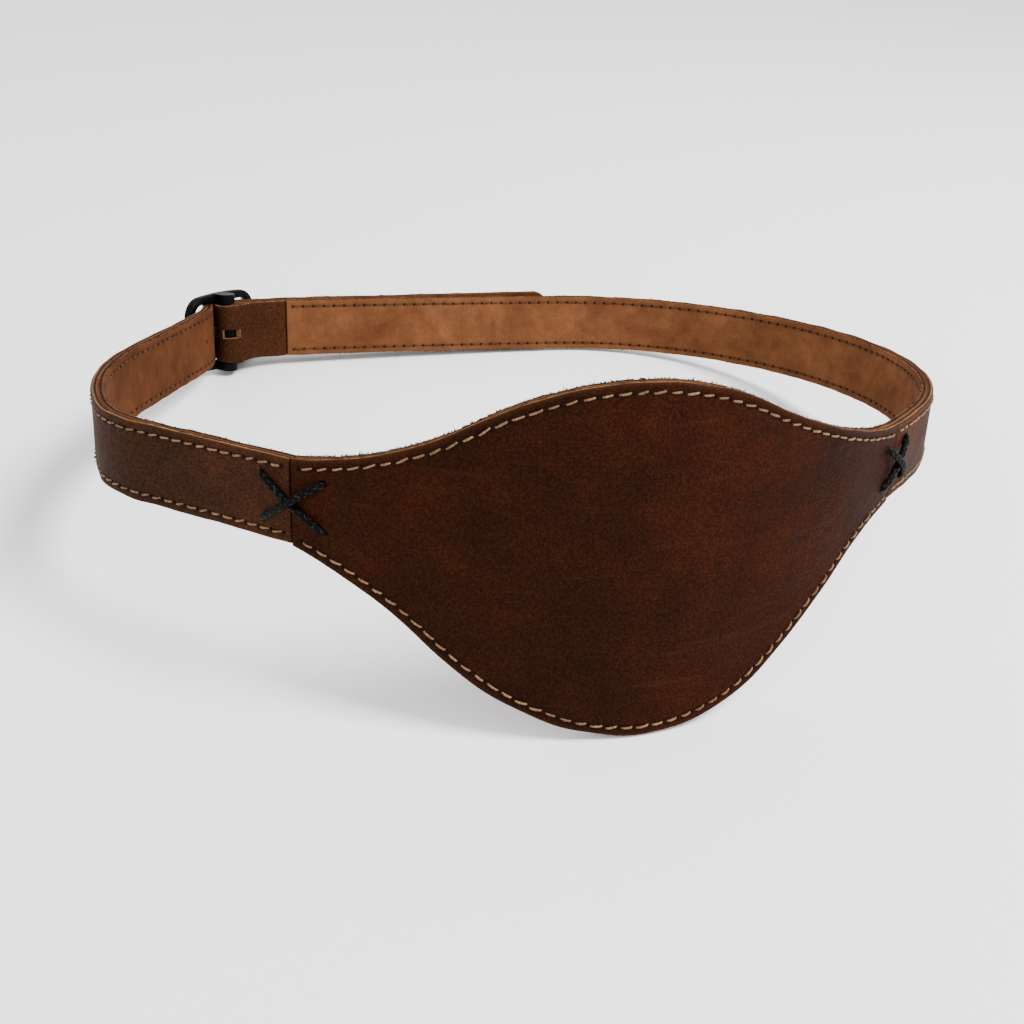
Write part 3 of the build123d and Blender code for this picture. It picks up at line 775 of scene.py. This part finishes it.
def stitches(name, node, path, rows, faces, seed):
    """Separate stitches along rows of (distance, height), in each face (offset, outward)."""
    local = np.random.default_rng(seed)
    vertices, polygons, indices = [], [], []
    for row in rows:
        stations = resample(row, STITCH_PITCH)
        for offset, outward, sunk in faces:
            shape, shape_faces = stitch_shape(sunk)
            placed = lay(path, stations[:, 0], stations[:, 1], np.full(len(stations), offset))
            _, headings = walk(path, (stations[:-1, 0] + stations[1:, 0]) / 2)
            # A dark dome sunk in each needle hole: painted shade in the hole.
            mouth, mouth_faces = needle_hole()
            _, at_holes = walk(path, stations[:, 0])
            for p, h in zip(placed, at_holes):
                out = np.array((-np.sin(h), np.cos(h), 0)) * outward
                along = np.array((np.cos(h), np.sin(h), 0))
                base = sum(len(v) for v in vertices)
                vertices.append(p + np.outer(mouth[:, 0], along)
                                + np.outer(mouth[:, 1], np.cross(out, along))
                                + np.outer(mouth[:, 2], out))
                polygons += [tuple(i + base for i in f) for f in mouth_faces]
                indices += [2] * len(mouth_faces)
            for a, b, h in zip(placed[:-1], placed[1:], headings):
                along = b - a
                reach = np.linalg.norm(along)
                along /= reach
                out = np.array((-np.sin(h), np.cos(h), 0)) * outward
                side = np.cross(out, along)
                side /= np.linalg.norm(side)
                out = np.cross(along, side)
                lean = np.radians(local.normal(8, 5))
                along, side = (along * np.cos(lean) + side * np.sin(lean),
                               side * np.cos(lean) - along * np.sin(lean))
                half = reach / 2 * local.uniform(0.72, 0.93)
                lift = local.normal(-0.02, 0.055)
                middle = (a + b) / 2
                base = sum(len(v) for v in vertices)
                vertices.append(middle + np.outer(shape[:, 0] * half, along)
                                + np.outer(shape[:, 1] * local.uniform(0.9, 1.1), side)
                                + np.outer(shape[:, 2] + lift, out))
                polygons += [tuple(i + base for i in f) for f in shape_faces]
                indices += [1 if sunk else 0] * len(shape_faces)
    piece = mesh_object(name, world(np.vstack(vertices)), polygons,
                        [thread_look, thread_inside, painted_shade_black], indices)
    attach(piece, "band")
    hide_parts(node)
    return piece


inward_outer = ((-PLY, -1, 0.0), (PLY, 1, 0.16))      # patch and buckle strap: face, lining
billet_sides = ((PLY, 1, 0.0), (-PLY, -1, 0.16))
for name in ("top", "bottom"):
    stitches(f"patch_stitches_{name}", f"patch_stitching_{name}", patch_path,
             [patch_rows[name]], inward_outer, 71 if name == "top" else 72)
    stitches(f"buckle_strap_stitches_{name}", f"buckle_strap_stitching_{name}", lining_path,
             [strap_rows[name]], inward_outer, 73 if name == "top" else 74)
stitches("billet_stitches", "billet_stitching", billet_path, [billet_row], billet_sides, 75)


# ---------------------------------------------------------------- laces
def smooth_route(points, bend=1.25, rounds=3):
    """A line through corners, rounded at each over about one bend length."""
    points = [np.array(p, float) for p in points]
    line = [points[0]]
    for before, here, after in zip(points[:-2], points[1:-1], points[2:]):
        for other in (before, after):
            away = other - here
            reach = min(bend, np.linalg.norm(away) * 0.45)
            line.append(here + away / np.linalg.norm(away) * reach)
    line.append(points[-1])
    line = np.array(line)
    for _ in range(rounds):
        first, last = line[:1], line[-1:]
        q = line[:-1] * 0.75 + line[1:] * 0.25
        r = line[:-1] * 0.25 + line[1:] * 0.75
        line = np.vstack([first, np.stack([q, r], 1).reshape(-1, 3)[1:-1], last])
    return line


def braided(line, radius, step=0.16, around=24, plait=1.55):
    """Vertices, faces and height of the plait for a braided cord along a line."""
    line = resample(np.asarray(line, float), step)
    tangent = np.gradient(line, axis=0)
    tangent /= np.linalg.norm(tangent, axis=1)[:, None]
    side = np.cross(tangent[0], (0.3, 0.2, 0.9))
    side /= np.linalg.norm(side)
    run = np.concatenate([[0], np.cumsum(np.linalg.norm(np.diff(line, axis=0), axis=1))])
    turns = np.linspace(0, 2 * np.pi, around, endpoint=False)
    vertices, raised = [], []
    for p, t, x in zip(line, tangent, run):
        side = side - t * (side @ t)
        side /= np.linalg.norm(side)
        other = np.cross(t, side)
        one = np.cos(4 * turns + 2 * np.pi * x / plait)
        two = np.cos(4 * turns - 2 * np.pi * x / plait)
        height = np.maximum(one, two)
        end = min(1, np.sqrt(max(min(x, run[-1] - x), 0) / 0.5 + 0.12))
        r = radius * (0.90 + 0.10 * height) * end
        vertices.append(p + np.outer(np.cos(turns) * r, side) + np.outer(np.sin(turns) * r, other))
        raised.append(height * 0.5 + 0.5)
    n = len(line)
    f = [(r * around + k, r * around + (k + 1) % around, (r + 1) * around + (k + 1) % around,
          (r + 1) * around + k) for r in range(n - 1) for k in range(around)]
    f += [tuple(range(around))[::-1], tuple(range((n - 1) * around, n * around))]
    return np.vstack(vertices), f, np.concatenate(raised)


def cross_lacing(name, node, patch_end, strap_end):
    """A lace through four holes, crossed twice outside and knotted inside."""
    out = PLY + LACE_SEEN * LACE_SINK
    high, low = CROSS_HALF_HEIGHT, -CROSS_HALF_HEIGHT
    middle = (patch_end(0, out) + strap_end(0, out)) / 2
    rise = strap_end(0, out + 1) - strap_end(0, out)
    under, over = middle + rise * SEAM_BULGE * 0.8, middle + rise * (SEAM_BULGE + 1.45 * LACE_SEEN)
    inner = -out
    knot = strap_end(0, -PLY - KNOT_OFF)
    route = [
        strap_end(0.7, inner - 0.6), strap_end(high, inner), strap_end(high, out), under,
        patch_end(low, out), patch_end(low, inner), patch_end(high, inner), patch_end(high, out),
        over, strap_end(low, out), strap_end(low, inner), strap_end(-0.7, inner - 0.6),
    ]
    t = np.linspace(0, 2 * np.pi, 90)
    up = strap_end(1, 0) - strap_end(0, 0)
    along = np.cross(up, rise)
    trefoil = (knot + np.outer(np.sin(t) + 2 * np.sin(2 * t), up) * 0.40
               + np.outer(np.cos(t) - 2 * np.cos(2 * t), along) * 0.40
               - np.outer(np.sin(3 * t), rise) * 0.55)
    tails = [smooth_route([knot + up * 0.6 * k, knot + up * 1.6 * k + along * 1.8,
                           knot + up * 3.2 * k + along * 2.8 + rise * 0.7]) for k in (1, -1)]
    vertices, faces, raised = [], [], []
    for line, radius in [(smooth_route(route), LACE_SEEN), (trefoil, KNOT_RADIUS)] + [
            (line, KNOT_RADIUS) for line in tails]:
        v, f, h = braided(line, radius)
        base = sum(len(x) for x in vertices)
        vertices.append(v)
        faces += [tuple(i + base for i in face) for face in f]
        raised.append(h)
    piece = mesh_object(name, world(np.vstack(vertices)), faces, [lace_look])
    layer = piece.data.attributes.new("raised", "FLOAT", "POINT")
    layer.data.foreach_set("value", np.concatenate(raised).astype(np.float32))
    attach(piece, "band")
    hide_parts(node)


def holes_of(path, distance, outward):
    return lambda up, out: lay(path, [distance], np.array([up]), np.array([out * outward]))[0]


cross_lacing("left_lace", "left_cross_lacing", holes_of(patch_path, from_seams[0], -1),
             holes_of(billet_path, CROSS_HALF_WIDTH, 1))
cross_lacing("right_lace", "right_cross_lacing", holes_of(patch_path, from_seams[1], -1),
             holes_of(folded_path, CROSS_HALF_WIDTH, -1))


# ---------------------------------------------------------------- frayed fibres on the edges
def fibres(name, strands):
    """Tapered fibres. Each strand is (root, tip, radius) in the band frame."""
    vertices, faces = [], []
    for root, tip, radius in strands:
        along = tip - root
        side = np.cross(along, (0.31, 0.42, 0.85))
        side /= np.linalg.norm(side)
        other = np.cross(along / np.linalg.norm(along), side)
        bow = side * np.linalg.norm(along) * 0.18
        base = len(vertices)
        for share, girth in ((0, 1.0), (0.5, 0.7)):
            for k in range(3):
                t = k * 2 * np.pi / 3
                vertices.append(root + along * share + bow * (share > 0)
                                + (side * np.cos(t) + other * np.sin(t)) * radius * girth)
        vertices.append(tip)
        for k in range(3):
            j = (k + 1) % 3
            faces.append((base + k, base + j, base + 3 + j, base + 3 + k))
            faces.append((base + 3 + k, base + 3 + j, base + 6))
        faces.append((base, base + 2, base + 1))
    piece = mesh_object(name, world(vertices), faces, [rough_edge])
    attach(piece, "band")


def edge_fibres(path, limits, begin, end, inner, count, seed, size):
    """Fibres standing on the top and bottom cut edges of a lining."""
    local = np.random.default_rng(seed)
    s = local.uniform(begin, end, count)
    low, high, _, _ = limits(s)
    n = inner * local.uniform(0.25, 1.0, count) * PLY
    grown = []
    for i in range(count):
        sign = 1 if local.random() < 0.8 else -1
        z = high[i] if sign > 0 else low[i]
        root = lay(path, [s[i]], np.array([z - sign * 0.05]), np.array([n[i]]))[0]
        length = size * local.lognormal(0, 0.45)
        direction = np.array([local.normal(0, 0.7), local.normal(0, 0.7),
                              sign * (0.35 + abs(local.normal(0, 0.5)))])
        direction /= np.linalg.norm(direction)
        grown.append((root, root + direction * length, local.uniform(0.06, 0.12)))
    return grown


fibres("patch_edge_fibres", edge_fibres(patch_path, patch_limits, 2, patch_length - 2, 1, 2200,
                                        81, 0.34))
fibres("billet_edge_fibres", edge_fibres(billet_path, billet_limits, 2, billet_length - 8, -1,
                                         800, 82, 0.34))
fibres("buckle_strap_edge_fibres", edge_fibres(lining_path, strap_limits, 2, lining_length - 2,
                                               1, 800, 83, 0.34))

# ---------------------------------------------------------------- buckle
for node in ("buckle_frame", "buckle_centre_pin", "buckle_prong"):
    shown = frame["nodes"][node]
    for slot in shown.material_slots:
        slot.material = metal

# ---------------------------------------------------------------- floor, light and camera
floor_material, nodes, links, shader = new_material("floor")
shader.inputs["Base Color"].default_value = (0.97, 0.97, 0.97, 1)
shader.inputs["Roughness"].default_value = 1.0
shader.inputs["Specular IOR Level"].default_value = 0.0
floor = mesh_object("floor", [(-6, -6, 0), (6, -6, 0), (6, 6, 0), (-6, 6, 0)], [(0, 1, 2, 3)],
                    [floor_material], smooth=False)

sky = bpy.data.worlds.new("studio")
bpy.context.scene.world = sky
sky.use_nodes = True
sky.node_tree.nodes["Background"].inputs["Color"].default_value = (1, 1, 1, 1)
sky.node_tree.nodes["Background"].inputs["Strength"].default_value = 1.35


def area_light(name, place, target, size, power):
    data = bpy.data.lights.new(name, "AREA")
    data.shape, data.size, data.energy = "DISK", size, power
    made = bpy.data.objects.new(name, data)
    made.location = place
    made.rotation_euler = (Vector(target) - Vector(place)).to_track_quat("-Z", "Y").to_euler()
    bpy.context.scene.collection.objects.link(made)


area_light("key", (0.55, -0.35, 0.95), (0, 0, 0.03), 0.45, 24.0)
area_light("fill", (-0.9, -0.9, 0.6), (0, 0, 0.03), 0.9, 4.0)

CAMERA_AT = np.array((-87.6, -202.2, 74.0))
CAMERA_TURN, CAMERA_PITCH, CAMERA_ROLL = np.radians((18.3, 20.33, 2.37))
ahead = np.array((np.sin(CAMERA_TURN), np.cos(CAMERA_TURN), 0))
level = np.array((np.cos(CAMERA_TURN), -np.sin(CAMERA_TURN), 0))
up = np.array((0, 0, 1.0))
forward = np.cos(CAMERA_PITCH) * ahead - np.sin(CAMERA_PITCH) * up
downward = -np.sin(CAMERA_PITCH) * ahead - np.cos(CAMERA_PITCH) * up
right_axis = np.cos(CAMERA_ROLL) * level - np.sin(CAMERA_ROLL) * downward
down_axis = np.sin(CAMERA_ROLL) * level + np.cos(CAMERA_ROLL) * downward
axes = np.stack([BAND_AXES @ right_axis, BAND_AXES @ -down_axis, BAND_AXES @ -forward], 1)
camera_data = bpy.data.cameras.new("camera")
camera_data.sensor_width = 36.0
camera_data.lens = 36.0 * 1200 / 1024
camera = bpy.data.objects.new("camera", camera_data)
camera.matrix_world = (Matrix.Translation(world(CAMERA_AT)) @ Matrix(axes).to_4x4())
bpy.context.scene.collection.objects.link(camera)
bpy.context.scene.camera = camera
